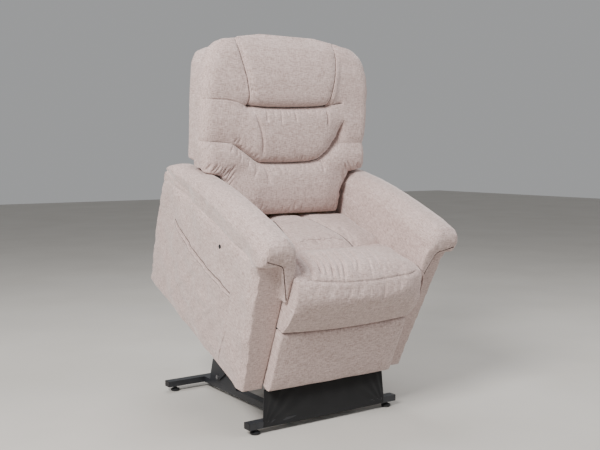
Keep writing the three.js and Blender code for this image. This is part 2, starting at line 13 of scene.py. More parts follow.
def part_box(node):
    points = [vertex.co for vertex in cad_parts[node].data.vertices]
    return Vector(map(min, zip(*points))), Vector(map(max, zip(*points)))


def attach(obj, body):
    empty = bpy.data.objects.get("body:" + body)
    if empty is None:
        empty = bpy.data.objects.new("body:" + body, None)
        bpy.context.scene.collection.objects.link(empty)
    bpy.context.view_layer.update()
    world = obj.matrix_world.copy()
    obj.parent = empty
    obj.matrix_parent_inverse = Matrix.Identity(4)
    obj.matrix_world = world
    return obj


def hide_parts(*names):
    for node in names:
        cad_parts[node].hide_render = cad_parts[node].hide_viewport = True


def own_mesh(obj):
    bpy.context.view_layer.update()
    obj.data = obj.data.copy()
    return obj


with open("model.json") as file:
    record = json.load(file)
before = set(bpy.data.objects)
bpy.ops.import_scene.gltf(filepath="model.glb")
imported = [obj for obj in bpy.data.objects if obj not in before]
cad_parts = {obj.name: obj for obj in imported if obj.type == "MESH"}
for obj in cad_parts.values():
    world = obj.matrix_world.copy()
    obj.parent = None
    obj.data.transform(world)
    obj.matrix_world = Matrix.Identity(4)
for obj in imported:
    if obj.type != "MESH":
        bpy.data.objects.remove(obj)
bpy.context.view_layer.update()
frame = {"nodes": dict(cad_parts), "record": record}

# ---- places, in metres and degrees ------------------------------------------------------------
MM = 0.001
CHAIR_ORIGIN = (0, -0.23305, 0.1593)
CHAIR_TILT = 23.1
BACK_PIVOT = (0, 0.475, 0.420)
BACK_LEAN = 14.5


def tilted(origin, degrees):
    return Matrix.Translation(origin) @ Matrix.Rotation(math.radians(degrees), 4, "X")


WORLD = Matrix.Identity(4)
CHAIR = tilted(CHAIR_ORIGIN, CHAIR_TILT)
BACK = CHAIR @ tilted(BACK_PIVOT, -BACK_LEAN)

CAMERA_PLACE = (-1.8063, -2.7255, 0.9772)
CAMERA_TURN = (85.21, 0, -34.21)
CAMERA_LENS_MM = 51.32
# Area lights: name, place, what it points at, diameter, watts, colour
LIGHTS = [
    ("key", (-3.3, -1.9, 3.2), (0, 0, 0.7), 1.5, 342, (1.0, 0.985, 0.965)),
    ("fill", (3.1, -2.3, 2.9), (0, 0, 0.8), 2.2, 74, (0.97, 0.985, 1.0)),
    ("top", (0.3, 1.2, 3.8), (0, 0, 0.8), 2.4, 66, (1.0, 1.0, 1.0)),
]
SKY_COLOUR = (0.80, 0.81, 0.82, 1)
SKY_STRENGTH = 0.45
SIMULATED_FRAMES = 20
CLOTH_PRESSURE = 4
CLOTH_REACH = 14 * MM


# ---- camera and light -------------------------------------------------------------------------
def add_camera():
    data = bpy.data.cameras.new("camera")
    data.sensor_width = 36
    data.lens = CAMERA_LENS_MM
    camera = bpy.data.objects.new("camera", data)
    camera.location = CAMERA_PLACE
    camera.rotation_euler = [math.radians(angle) for angle in CAMERA_TURN]
    bpy.context.collection.objects.link(camera)
    bpy.context.scene.camera = camera


def add_area_light(name, place, target, size, power, colour):
    data = bpy.data.lights.new(name, "AREA")
    data.shape = "DISK"
    data.size = size
    data.energy = power
    data.color = colour
    light = bpy.data.objects.new(name, data)
    light.location = place
    light.rotation_euler = (Vector(target) - Vector(place)).to_track_quat("-Z", "Y").to_euler()
    bpy.context.collection.objects.link(light)


def add_sky():
    world = bpy.data.worlds.new("studio")
    bpy.context.scene.world = world
    world.use_nodes = True
    background = world.node_tree.nodes["Background"]
    background.inputs["Color"].default_value = SKY_COLOUR
    background.inputs["Strength"].default_value = SKY_STRENGTH


# ---- mesh helpers -----------------------------------------------------------------------------
def coords(obj):
    flat = np.empty(len(obj.data.vertices) * 3)
    obj.data.vertices.foreach_get("co", flat)
    return flat.reshape(-1, 3)


def set_coords(obj, points):
    obj.data.vertices.foreach_set("co", np.ascontiguousarray(points, float).ravel())
    obj.data.update()


def normals(obj):
    flat = np.empty(len(obj.data.vertices) * 3)
    obj.data.vertex_normals.foreach_get("vector", flat)
    return flat.reshape(-1, 3)


def placed(mesh, matrix):
    """An object of the mesh's own name, standing where matrix says."""
    obj = bpy.data.objects.new(mesh.name, mesh)
    obj.matrix_world = matrix
    bpy.context.collection.objects.link(obj)
    return obj


def new_object(name, vertices, faces, matrix=WORLD):
    mesh = bpy.data.meshes.new(name)
    mesh.from_pydata([tuple(v) for v in vertices], [], faces)
    mesh.update()
    return placed(mesh, matrix)


def copy_of_nodes(nodes, name, matrix):
    """The meshes of some CAD nodes as one new mesh, in the coordinates of matrix."""
    joined = bmesh.new()
    for node in nodes:
        mesh = frame["nodes"][node].data.copy()
        mesh.transform(matrix.inverted())
        joined.from_mesh(mesh)
        bpy.data.meshes.remove(mesh)
    mesh = bpy.data.meshes.new(name)
    joined.to_mesh(mesh)
    joined.free()
    return placed(mesh, matrix)


def apply_modifiers(obj):
    graph = bpy.context.evaluated_depsgraph_get()
    mesh = bpy.data.meshes.new_from_object(obj.evaluated_get(graph))
    old = obj.data
    obj.modifiers.clear()
    obj.data = mesh
    bpy.data.meshes.remove(old)


def voxel_remesh(obj, size):
    remesh = obj.modifiers.new("remesh", "REMESH")
    remesh.mode = "VOXEL"
    remesh.voxel_size = size
    apply_modifiers(obj)


def smooth(obj, rounds):
    modifier = obj.modifiers.new("smooth", "SMOOTH")
    modifier.factor = 0.5
    modifier.iterations = rounds
    apply_modifiers(obj)


def subdivide(obj):
    modifier = obj.modifiers.new("subdivision", "SUBSURF")
    modifier.levels = 1
    modifier.render_levels = 1
    apply_modifiers(obj)


def wobble(points, length, seed, waves=7):
    """A smooth random field of about unit size that varies over the given length."""
    rng = np.random.default_rng(seed)
    total = np.zeros(len(points))
    for _ in range(waves):
        direction = rng.normal(size=points.shape[1])
        direction *= 2 * math.pi / length * rng.uniform(0.6, 1.5) / np.linalg.norm(direction)
        total += np.sin(points @ direction + rng.uniform(0, 2 * math.pi))
    return total / math.sqrt(waves / 2) / 1.6


def segment_distances(points, line, closed=False):
    """Distance of each point to each segment of a line, and how far along the line the nearest lies."""
    ends = np.array(line, float)
    starts = ends if closed else ends[:-1]
    stops = np.roll(ends, -1, axis=0) if closed else ends[1:]
    lengths = np.linalg.norm(stops - starts, axis=1)
    run = np.concatenate([[0], np.cumsum(lengths)[:-1]])
    distances, along = [], []
    for start, stop, length, before in zip(starts, stops, lengths, run):
        share = np.clip((points - start) @ (stop - start) / length**2, 0, 1)
        distances.append(np.linalg.norm(points - start - share[:, None] * (stop - start), axis=1))
        along.append(before + share * length)
    return np.array(distances).T, np.array(along).T


def nearest_on_line(points, line):
    distances, along = segment_distances(points, line)
    nearest = distances.argmin(axis=1)
    rows = np.arange(len(points))
    return distances[rows, nearest], along[rows, nearest]


def inside(points, outline):
    x, y = points.T
    result = np.zeros(len(points), bool)
    for (x0, y0), (x1, y1) in zip(outline, np.roll(outline, -1, axis=0)):
        if y0 == y1:
            continue
        crosses = (y0 > y) != (y1 > y)
        result ^= crosses & (x < (x1 - x0) * (y - y0) / (y1 - y0) + x0)
    return result


def kept_inside(points, outline):
    """The points, with those outside a closed outline brought back onto it."""
    out = ~inside(points, outline)
    if not out.any():
        return points
    outer = points[out]
    best = np.full(len(outer), 1e9)
    moved = outer.copy()
    for start, stop in zip(outline, np.roll(outline, -1, axis=0)):
        share = np.clip((outer - start) @ (stop - start) / ((stop - start) @ (stop - start)), 0, 1)
        foot = start + share[:, None] * (stop - start)
        distance = np.linalg.norm(outer - foot, axis=1)
        closer = distance < best
        best[closer] = distance[closer]
        moved[closer] = foot[closer]
    result = points.copy()
    result[out] = moved
    return result


def eased(x):
    """0 below 0, 1 above 1, and a smooth step between."""
    x = np.clip(x, 0, 1)
    return x * x * (3 - 2 * x)


# ---- padded pieces ----------------------------------------------------------------------------
def rounded_face(points, plan, depth, front, back, outline, edges):
    """Rounds the front face of a cushion towards each edge of its outline, each with its (reach, drop)."""
    distances, _ = segment_distances(points[:, plan], outline, closed=True)
    reach = np.array([e[0] for e in edges]) * MM
    drop = np.array([e[1] for e in edges]) * MM
    near = 1 - np.clip(distances / reach, 0, 1)
    fall = (((1 - np.sqrt(1 - near**2)) * drop) ** 3).sum(axis=1) ** (1 / 3)
    share = np.clip((back - points[:, depth]) / (back - front), 0, 1)
    result = points.copy()
    result[:, depth] += fall * share * np.sign(back - front)
    return result


def pressed(points, plan, depth, facing, lines, chosen):
    """Presses sewn lines and creases into a face.

    plan and depth are the axes across and into the face, and facing is the sign of its outward direction.
    Each line is (points, half width, depth, fade at the ends), in mm.
    """
    result = points.copy()
    flat = points[chosen][:, plan]
    total = np.zeros(len(flat))
    for line, width, deep, ends in lines:
        line = np.array(line, float) * MM
        distance, along = nearest_on_line(flat, line)
        profile = np.exp(-np.abs(distance / (width * MM)) ** 1.5) * deep * MM
        if ends:
            length = np.linalg.norm(np.diff(line, axis=0), axis=1).sum()
            profile = profile * eased(along / (ends * MM)) * eased((length - along) / (ends * MM))
        total += profile
    result[chosen, depth] -= total * facing
    return result


def gathers(line, reach, deep, spacing, seed, away):
    """Short creases that start on a sewn line and run off along the direction away."""
    rng = np.random.default_rng(seed)
    line = np.array(line, float)
    steps = np.diff(line, axis=0)
    lengths = np.linalg.norm(steps, axis=1)
    run = np.concatenate([[0], np.cumsum(lengths)])
    creases, place = [], spacing * rng.uniform(0.3, 0.9)
    while place < run[-1]:
        index = min(np.searchsorted(run, place) - 1, len(steps) - 1)
        start = line[index] + steps[index] * (place - run[index]) / lengths[index]
        lean = np.array(away) + rng.uniform(-0.22, 0.22) * steps[index] / lengths[index]
        size = rng.uniform(0.35, 1.0)
        middle = start + lean * reach * size * 0.5 + rng.uniform(-2.5, 2.5, 2)
        creases.append(([start, middle, start + lean * reach * size], rng.uniform(3.0, 5.0),
                        deep * rng.uniform(0.4, 1.0), reach * size * 0.45))
        place += spacing * rng.uniform(0.6, 1.5)
    return creases


class Padded:
    """One padded piece: a start shape, what holds it if it is simulated, and its finishing.

    voxel is the remesh size in mm, rounds how often it is smoothed, fill (its firmness) is not used, and
    slack the share by which its cloth is larger than its start shape.
    """

    def __init__(self, name, nodes, body, matrix, voxel, shape, finish, rounds, fill=0.75, held=None,
                 slack=0):
        self.name, self.nodes, self.body, self.matrix = name, nodes, body, matrix
        self.voxel, self.shape, self.finish, self.rounds = voxel, shape, finish, rounds
        self.fill, self.held, self.slack = fill, held, slack

    def start(self):
        self.obj = copy_of_nodes(self.nodes, self.name, self.matrix)
        voxel_remesh(self.obj, self.voxel * MM)
        set_coords(self.obj, self.shape(coords(self.obj), normals(self.obj)))
        smooth(self.obj, self.rounds)

    def add_cloth(self):
        group = self.obj.vertex_groups.new(name="pinned")
        held = self.held(coords(self.obj))
        for index in np.nonzero(held > 0.02)[0]:
            group.add([int(index)], float(held[index]), "REPLACE")
        modifier = self.obj.modifiers.new("cloth", "CLOTH")
        settings = modifier.settings
        settings.quality = 4
        settings.mass = 0.25
        settings.tension_stiffness = settings.compression_stiffness = 12
        settings.shear_stiffness = 4
        settings.bending_stiffness = 0.3
        settings.use_pressure = True
        settings.uniform_pressure_force = CLOTH_PRESSURE
        settings.shrink_min = -self.slack
        settings.vertex_group_mass = "pinned"
        settings.effector_weights.gravity = 0
        modifier.collision_settings.use_collision = False
        modifier.point_cache.frame_start = 1
        modifier.point_cache.frame_end = SIMULATED_FRAMES
        self.before = coords(self.obj)

    def take_cloth(self):
        """Applies the simulation, with how far each point moved eased off towards CLOTH_REACH."""
        apply_modifiers(self.obj)
        self.obj.vertex_groups.clear()
        move = coords(self.obj) - self.before
        length = np.linalg.norm(move, axis=1, keepdims=True)
        eased_length = CLOTH_REACH * np.tanh(length / CLOTH_REACH)
        set_coords(self.obj, self.before + move * eased_length / np.maximum(length, 1e-9))

    def complete(self):
        subdivide(self.obj)
        set_coords(self.obj, self.finish(coords(self.obj), normals(self.obj)))
        dressed(self.obj, "upholstery", self.body, self.nodes)


def dressed(obj, slot, body, replaced=()):
    """Gives a finished piece its material, its body and the CAD nodes it stands for."""
    obj.data.polygons.foreach_set("use_smooth", [True] * len(obj.data.polygons))
    obj.data.update()
    obj.data.materials.clear()
    obj.data.materials.append(MATERIALS[slot])
    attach(obj, body)
    if replaced:
        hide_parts(*replaced)


def simulate(pieces):
    """Swells every held piece in one run of the frames."""
    scene = bpy.context.scene
    scene.frame_start, scene.frame_end = 1, SIMULATED_FRAMES
    soft = [piece for piece in pieces if piece.held]
    for piece in soft:
        piece.add_cloth()
    for number in range(1, SIMULATED_FRAMES + 1):
        scene.frame_set(number)
    for piece in soft:
        piece.take_cloth()
    scene.frame_set(1)


# ---- seams, as dark threads of painted shade, laid on finished pieces -------------------------
def surface_tree(obj):
    return BVHTree.FromPolygons([v.co for v in obj.data.vertices], [f.vertices for f in obj.data.polygons])


def on_surface(objects, points, direction, lift):
    """Points in mm, dropped along direction onto the first of some meshes, in m in their coordinates."""
    trees = [surface_tree(obj) for obj in objects]
    direction = Vector(direction)
    landed = []
    for point in points:
        start = Vector(point) * MM - direction * 0.6
        hits = [tree.ray_cast(start, direction, 1.2) for tree in trees]
        hits = [(hit[3], hit[0]) for hit in hits if hit[0] is not None]
        if hits:
            landed.append(min(hits, key=lambda hit: hit[0])[1] - direction * lift * MM)
    return landed


def resampled(path, step):
    """The path with points evenly spaced by about step metres."""
    path = np.array([tuple(p) for p in path])
    run = np.concatenate([[0], np.cumsum(np.linalg.norm(np.diff(path, axis=0), axis=1))])
    places = np.linspace(0, run[-1], max(2, round(run[-1] / step) + 1))
    return np.stack([np.interp(places, run, path[:, axis]) for axis in range(3)], axis=1)


def tube_rings(path, radii, sides):
    tangents = np.gradient(path, axis=0)
    tangents /= np.linalg.norm(tangents, axis=1, keepdims=True)
    helper = np.array([0.13, 0.31, 0.94])
    across = np.cross(tangents, helper)
    across /= np.linalg.norm(across, axis=1, keepdims=True)
    other = np.cross(tangents, across)
    angles = np.linspace(0, 2 * math.pi, sides, endpoint=False)
    return [path + radii[:, None] * (math.cos(a) * across + math.sin(a) * other) for a in angles]


def tubes(name, paths, all_radii, matrix, sides=8):
    """Round cords along some paths, closed and tapered at their ends, as one mesh."""
    vertices, faces = [], []
    for path, radius in zip(paths, all_radii):
        count = len(path)
        radii = np.full(count, radius)
        radii[0] = radii[-1] = radius * 0.35
        rings = np.stack(tube_rings(path, radii, sides), axis=1)
        base = len(vertices)
        vertices.extend(rings.reshape(-1, 3))
        for i in range(count - 1):
            for j in range(sides):
                a, b = base + i * sides + j, base + i * sides + (j + 1) % sides
                faces.append((a, b, b + sides, a + sides))
        faces.append(tuple(base + j for j in reversed(range(sides))))
        faces.append(tuple(base + (count - 1) * sides + j for j in range(sides)))
    return new_object(name, vertices, faces, matrix)


def stitch_paths(path, length=3.4, gap=1.7):
    """The short runs of thread of a line of topstitching."""
    path = resampled(path, 0.0017)
    per_stitch, per_gap = max(2, round(length / 1.7)), max(1, round(gap / 1.7))
    return [path[i:i + per_stitch + 1] for i in range(0, len(path) - per_stitch, per_stitch + per_gap)]


# ---- materials --------------------------------------------------------------------------------
class Nodes:
    """A short way to write a node tree."""

    def __init__(self, name):
        self.material = bpy.data.materials.new(name)
        self.material.use_nodes = True
        self.tree = self.material.node_tree
        self.shader = self.tree.nodes["Principled BSDF"]

    def add(self, kind, settings=None, **inputs):
        node = self.tree.nodes.new(kind)
        for key, value in (settings or {}).items():
            setattr(node, key, value)
        for key, value in inputs.items():
            self.link(value, node.inputs[int(key[1:]) if key[1:].isdigit() else key.replace("_", " ")])
        return node

    def link(self, value, socket):
        if isinstance(value, bpy.types.NodeSocket):
            self.tree.links.new(value, socket)
        else:
            socket.default_value = value

    def place(self):
        return self.add("ShaderNodeTexCoord").outputs["Object"]

    def math(self, operation, a, b=0.0, c=0.0):
        return self.add("ShaderNodeMath", {"operation": operation}, i0=a, i1=b, i2=c).outputs[0]

    def noise(self, vector, scale, detail=3.0, rough=0.55):
        inputs = {"Vector": vector, "Scale": scale, "Detail": detail, "Roughness": rough}
        return self.add("ShaderNodeTexNoise", **inputs).outputs["Fac"]

    def scaled(self, vector, factors):
        return self.add("ShaderNodeVectorMath", {"operation": "MULTIPLY"}, i0=vector, i1=factors).outputs[0]

    def ramp(self, value, stops):
        node = self.add("ShaderNodeValToRGB", None, Fac=value)
        elements = node.color_ramp.elements
        while len(elements) < len(stops):
            elements.new(0.5)
        for element, (place, colour) in zip(elements, stops):
            element.position = place
            element.color = (*colour, 1)
        return node.outputs[0]

    def mix(self, share, a, b, blend="MIX"):
        node = self.add("ShaderNodeMix", {"data_type": "RGBA", "blend_type": blend})
        self.link(share, node.inputs[0])
        self.link(a, node.inputs[6])
        self.link(b, node.inputs[7])
        return node.outputs[2]

    def bump(self, height, strength, distance, normal=None):
        node = self.add("ShaderNodeBump", None, Strength=strength, Distance=distance, Height=height)
        if normal is not None:
            self.link(normal, node.inputs["Normal"])
        return node.outputs[0]

    def finish(self, colour, roughness, normal, **fixed):
        self.link(colour, self.shader.inputs["Base Color"])
        self.link(roughness, self.shader.inputs["Roughness"])
        if normal is not None:
            self.link(normal, self.shader.inputs["Normal"])
        for key, value in fixed.items():
            self.shader.inputs[key.replace("_", " ")].default_value = value
        return self.material


def chenille():
    """Short-pile woven cover: slubby yarns two ways, flecks of lighter and darker fibre."""
    n = Nodes("chenille")
    place = n.place()
    facing = n.add("ShaderNodeSeparateXYZ", None, Vector=n.add("ShaderNodeTexCoord").outputs["Normal"])
    across = n.math("ABSOLUTE", facing.outputs[0])
    side_on = n.math("GREATER_THAN", across, 0.62)
    front = {"weft": (60, 400, 400), "warp": (420, 66, 66)}
    side = {"weft": (400, 60, 400), "warp": (420, 420, 66)}
    weft = n.mix(side_on, n.noise(n.scaled(place, front["weft"]), 1.0, 2.0),
                 n.noise(n.scaled(place, side["weft"]), 1.0, 2.0))
    warp = n.mix(side_on, n.noise(n.scaled(place, front["warp"]), 1.0, 2.0),
                 n.noise(n.scaled(place, side["warp"]), 1.0, 2.0))
    pile = n.noise(place, 900.0, 2.0)
    cloud = n.noise(place, 14.0, 3.0)
    yarn = n.math("ADD", n.math("MULTIPLY", weft, 0.55), n.math("MULTIPLY", warp, 0.45))
    tone = n.math("ADD", n.math("MULTIPLY", yarn, 0.8), n.math("MULTIPLY", pile, 0.2))
    colour = n.ramp(tone, [(0.34, (0.275, 0.203, 0.184)), (0.47, (0.468, 0.361, 0.335)),
                           (0.55, (0.584, 0.464, 0.437)), (0.70, (0.770, 0.660, 0.632))])
    colour = n.mix(n.math("MULTIPLY", cloud, 0.35), colour, (0.62, 0.52, 0.49, 1), "MULTIPLY")
    rough = n.math("ADD", 0.78, n.math("MULTIPLY", tone, 0.2))
    height = n.math("ADD", n.math("MULTIPLY", yarn, 0.8), n.math("MULTIPLY", pile, 0.35))
    return n.finish(colour, rough, n.bump(height, 0.75, 0.0016), Sheen_Weight=0.35,
                    Sheen_Roughness=0.45, Sheen_Tint=(1.0, 0.96, 0.93, 1), Specular_IOR_Level=0.2)


def black_cloth():
    n = Nodes("lining_cloth")
    place = n.place()
    weave = n.noise(n.scaled(place, (900, 900, 300)), 1.0, 2.0)
    cloud = n.noise(place, 20.0, 3.0)
    colour = n.ramp(n.math("ADD", n.math("MULTIPLY", weave, 0.6), n.math("MULTIPLY", cloud, 0.4)),
                    [(0.3, (0.003, 0.003, 0.0035)), (0.7, (0.008, 0.008, 0.009))])
    return n.finish(colour, n.math("ADD", 0.72, n.math("MULTIPLY", weave, 0.2)),
                    n.bump(weave, 0.4, 0.0006), Sheen_Weight=0.15, Specular_IOR_Level=0.25)


def worn(n, place, colour, worn_colour):
    """A colour with faint scuffs."""
    scuff = n.noise(place, 60.0, 6.0, 0.7)
    mask = n.ramp(scuff, [(0.62, (0, 0, 0)), (0.72, (1, 1, 1))])
    return n.mix(n.math("MULTIPLY", mask, 0.35), colour, worn_colour)


def powder_coat():
    n = Nodes("powder_coat")
    place = n.place()
    peel = n.noise(place, 1400.0, 2.0)
    cloud = n.noise(place, 30.0, 4.0)
    base = n.ramp(cloud, [(0.3, (0.010, 0.011, 0.014)), (0.7, (0.020, 0.022, 0.027))])
    colour = worn(n, place, base, (0.07, 0.07, 0.075, 1))
    rough = n.math("ADD", 0.34, n.math("MULTIPLY", cloud, 0.18))
    return n.finish(colour, rough, n.bump(peel, 0.25, 0.0004), Specular_IOR_Level=0.55)


def zinc():
    n = Nodes("zinc_plate")
    place = n.place()
    spangle = n.noise(place, 160.0, 3.0)
    brushed = n.noise(n.scaled(place, (900, 60, 900)), 1.0, 2.0)
    colour = n.ramp(spangle, [(0.35, (0.42, 0.42, 0.44)), (0.65, (0.66, 0.66, 0.68))])
    rough = n.math("ADD", 0.24, n.math("MULTIPLY", spangle, 0.2))
    return n.finish(colour, rough, n.bump(brushed, 0.15, 0.0003), Metallic=1.0)


def moulded(name, dark, light, grain):
    n = Nodes(name)
    place = n.place()
    fine = n.noise(place, grain, 2.0)
    cloud = n.noise(place, 25.0, 3.0)
    colour = worn(n, place, n.ramp(cloud, [(0.3, dark), (0.7, light)]), (*[c * 2.5 for c in light], 1))
    rough = n.math("ADD", 0.46, n.math("MULTIPLY", fine, 0.2))
    return n.finish(colour, rough, n.bump(fine, 0.35, 0.0004), Specular_IOR_Level=0.45)


def plywood():
    n = Nodes("plywood")
    place = n.place()
    grain = n.noise(n.scaled(place, (6, 90, 260)), 1.0, 5.0, 0.65)
    pores = n.noise(n.scaled(place, (40, 900, 900)), 1.0, 2.0)
    colour = n.ramp(grain, [(0.3, (0.30, 0.18, 0.095)), (0.5, (0.47, 0.31, 0.18)),
                            (0.72, (0.62, 0.45, 0.28))])
    return n.finish(colour, n.math("ADD", 0.55, n.math("MULTIPLY", grain, 0.2)),
                    n.bump(n.math("ADD", grain, n.math("MULTIPLY", pores, 0.4)), 0.4, 0.0008))


def floor_material():
    n = Nodes("floor")
    place = n.place()
    cloud = n.noise(place, 1.5, 3.0)
    colour = n.ramp(cloud, [(0.3, (0.50, 0.475, 0.44)), (0.7, (0.54, 0.515, 0.48))])
    return n.finish(colour, 0.85, None)


def seam_shade_thread():
    """Painted shade: a dark twisted thread laid in the bottoms of the seams, far darker than the cover,
    standing in for the shade there.
    """
    n = Nodes("seam_shade_thread")
    place = n.place()
    twist = n.noise(place, 700.0, 2.0)
    # very dark thread colours: painted shade for the bottoms of the seams
    colour = n.ramp(twist, [(0.3, (0.045, 0.032, 0.028)), (0.7, (0.100, 0.074, 0.066))])
    return n.finish(colour, 0.9, n.bump(twist, 0.4, 0.0004), Specular_IOR_Level=0.2)


MATERIALS = {
    "upholstery": chenille(),
    # the seam slot is painted shade: dark cords standing in for the shade in seams, hems and the pocket
    # mouth; the topstitching stitches wear the same dark colour
    "seam": seam_shade_thread(),
    "black_cloth": black_cloth(),
    "black_steel": powder_coat(),
    "zinc": zinc(),
    "black_plastic": moulded("black_moulding", (0.006, 0.006, 0.007), (0.012, 0.012, 0.014), 700.0),
    "grey_plastic": moulded("grey_moulding", (0.030, 0.032, 0.036), (0.050, 0.052, 0.058), 500.0),
    "plywood": plywood(),
}


def dress_cad_nodes():
    for part in frame["record"]["subparts"]:
        slots = frame["nodes"][part["node"]].data.materials
        slots.clear()
        slots.append(MATERIALS[part["material_slot"]])


def add_floor(size=14):
    corners = [(-size, -size, 0), (size, -size, 0), (size, size, 0), (-size, size, 0)]
    floor = new_object("floor", corners, [(0, 1, 2, 3)])
    floor.location.z = -0.0005
    floor.data.materials.append(floor_material())


# ---- the back ---------------------------------------------------------------------------------
# Lines on the back are drawn in (x, s), in mm: s runs up the back from its pivot. Left and right in the names
# of lines are as seen from the front, where x runs to the right. In the names of nodes they are the sitter's.
FRONT_PLAN = [0, 2]
TOP_PLAN = [0, 1]
SIDE_PLAN = [1, 2]
BACK_RIGHT = [(252, 14), (262, 60), (266, 108), (280, 142), (293, 174), (365, 190), (373, 289), (374, 448),
              (370, 520), (358, 575), (340, 615), (312, 640), (280, 656), (226, 664), (120, 681)]
BACK_LEFT = [(-268, 14), (-277, 150), (-292, 174), (-365, 190)] + [(-x, s) for x, s in BACK_RIGHT[6:]]
BACK_OUTLINE = np.array(BACK_RIGHT + BACK_LEFT[::-1], float) * MM
# (reach, drop) in mm of the rounding along each edge of the outline
WING_EDGES = [(40, 46), (42, 48), (46, 50), (50, 52), (52, 54), (52, 54), (52, 52), (42, 34), (34, 12)]
BACK_EDGES = [(36, 40), (38, 42), (36, 40), (32, 38), (30, 26), *WING_EDGES, (30, 8), *WING_EDGES[::-1],
              (26, 14), (20, 14), (22, 24), (34, 24)]

UNDER_PILLOW = [(-186, 421), (-100, 417), (0, 419), (110, 425), (160, 430), (170, 434)]
UNDER_LUMBAR = [(-250, 284), (-226, 274), (-200, 258), (-172, 238), (-146, 220), (-128, 211), (-45, 210),
                (24, 211), (95, 214), (136, 223), (172, 248), (206, 277), (231, 309), (241, 350), (246, 384)]
LEFT_LOW_SEAM = [(-226, 274), (-256, 285), (-300, 289), (-374, 290)]
RIGHT_LOW_SEAM = [(212, 282), (260, 290), (374, 291)]
LEFT_TOP_SEAM = [(-178, 418), (-206, 424), (-240, 436), (-280, 442), (-374, 441)]
RIGHT_TOP_SEAM = [(166, 432), (210, 441), (240, 446)]
LEFT_PILLOW_SEAM = [(-184, 420), (-189, 470), (-200, 522), (-212, 565), (-224, 609), (-231, 640), (-236, 690)]
RIGHT_PILLOW_SEAM = [(166, 431), (175, 475), (186, 529), (194, 580), (200, 620), (203, 650), (205, 690)]
RIGHT_DART = [(160, 424), (164, 388), (166, 350)]

# Wide valleys, narrow seams and single puckers: line, half width, depth, fade at the ends, in mm
BACK_VALLEYS = [
    (UNDER_PILLOW, 20, 15, 0), (UNDER_LUMBAR, 24, 16, 60), (LEFT_PILLOW_SEAM, 12, 6, 0),
    (RIGHT_PILLOW_SEAM, 12, 5, 0), (LEFT_TOP_SEAM, 16, 3, 0), (LEFT_LOW_SEAM, 18, 6, 0),
    (RIGHT_LOW_SEAM, 18, 4, 0), (RIGHT_TOP_SEAM, 14, 6, 10), (UNDER_PILLOW, 7, 10, 0),
    (UNDER_LUMBAR, 7, 11, 60),
]
BACK_SEAMS = [
    (UNDER_PILLOW, 4.2, 14, 8), (UNDER_LUMBAR, 4.0, 13, 50), (LEFT_PILLOW_SEAM, 3.4, 8, 0),
    (RIGHT_PILLOW_SEAM, 2.6, 5, 0), (LEFT_TOP_SEAM, 2.4, 3.0, 10), (LEFT_LOW_SEAM, 2.4, 3.4, 10),
    (RIGHT_LOW_SEAM, 2.4, 1.8, 30), (RIGHT_TOP_SEAM, 3.4, 5, 14),
]
BACK_PUCKERS = [
    (RIGHT_DART, 3.6, 8, 20),
    ([(-172, 412), (-152, 373), (-136, 334), (-126, 288), (-122, 226)], 4.6, 8, 50),
    ([(-122, 208), (-106, 173), (-101, 126)], 6, 7, 40),
    ([(144, 224), (154, 194), (150, 176)], 4.6, 8, 16),
    ([(-224, 326), (-220, 304), (-216, 284)], 3.2, 2.4, 16),
    ([(11, 417), (15, 392), (18, 366)], 4, 7, 16),
    ([(-111, 417), (-113, 392), (-112, 362)], 4, 6, 16),
    ([(-47, 417), (-49, 390), (-50, 356)], 4, 6, 18),
    ([(70, 422), (72, 396), (70, 378)], 3.0, 2.4, 14),
    ([(-330, 286), (-352, 262), (-360, 232)], 5, 3, 20),
    ([(-250, 283), (-232, 262), (-200, 236), (-178, 204)], 6, 3, 30),
]
# Rows of gathers: sewn line, reach, depth, spacing, seed, direction
BACK_GATHERS = [
    (UNDER_PILLOW, 46, 5.0, 22, 21, (0, -1)),
    (UNDER_LUMBAR[5:11], 40, 5.4, 20, 22, (0.15, 1)),
    (UNDER_LUMBAR[5:12], 56, 5.6, 22, 23, (0.1, -1)),
    (UNDER_LUMBAR[:6], 44, 5.0, 17, 24, (0.5, 0.9)),
    (UNDER_LUMBAR[:6], 70, 5.4, 20, 25, (-0.4, -1)),
    (LEFT_TOP_SEAM, 40, 3.0, 26, 26, (0.1, -1)),
    (LEFT_PILLOW_SEAM[1:6], 34, 4.6, 14, 27, (1, -0.5)),
    (RIGHT_PILLOW_SEAM[1:6], 26, 3.0, 20, 28, (-1, -0.3)),
    ([(366, 192), (292, 178), (277, 152), (270, 40)], 70, 9.0, 14, 31, (-0.6, 0.85)),
    ([(-366, 192), (-292, 178), (-277, 152), (-270, 40)], 66, 8.0, 15, 32, (0.6, 0.85)),
    ([(-260, 18), (260, 18)], 60, 4.6, 26, 33, (0, 1)),
    ([(-372, 300), (-371, 430)], 30, 1.8, 26, 34, (1, 0.2)),
    ([(-150, 680), (150, 680)], 30, 1.6, 34, 35, (0, -1)),
]


def sideways(s):
    """How far the upper back leans to the sitter's right, s above the pivot of the back, in m."""
    return -0.007 * eased((s - 0.19) / 0.09)


def back_front(x, s):
    """How far back, in mm, the filled front of the back lies before its edges and seams are drawn in."""
    middle = np.interp(s, [0, 40, 80, 125, 165, 210, 255, 305, 360, 421, 465, 520, 560, 600, 640, 665, 690],
                       [-14, -26, -35, -36, -31, -23, -25, -29, -27, -22, -26, -26, -21, -9, 12, 36, 62])
    lateral = np.interp(s, [0, 176, 215, 250, 289, 330, 375, 425, 448, 500, 560, 615, 655, 690],
                        [-14, -16, -25, -25, -13, -17, -19, -15, -15, -17, -12, 1, 20, 40])
    inner = np.interp(s, [0, 200, 289, 400, 416, 426, 690], [150, 150, 130, 150, 170, 176, 210])
    outer = np.interp(s, [0, 200, 289, 400, 416, 426, 690], [250, 250, 240, 235, 214, 204, 238])
    share = eased((np.abs(x) - inner) / (outer - inner))
    crown = 5 * np.clip(1 - (x / 374) ** 2, 0, 1)
    return middle * (1 - share) + lateral * share - crown + 0.042 * np.clip(s - 100, 0, None)


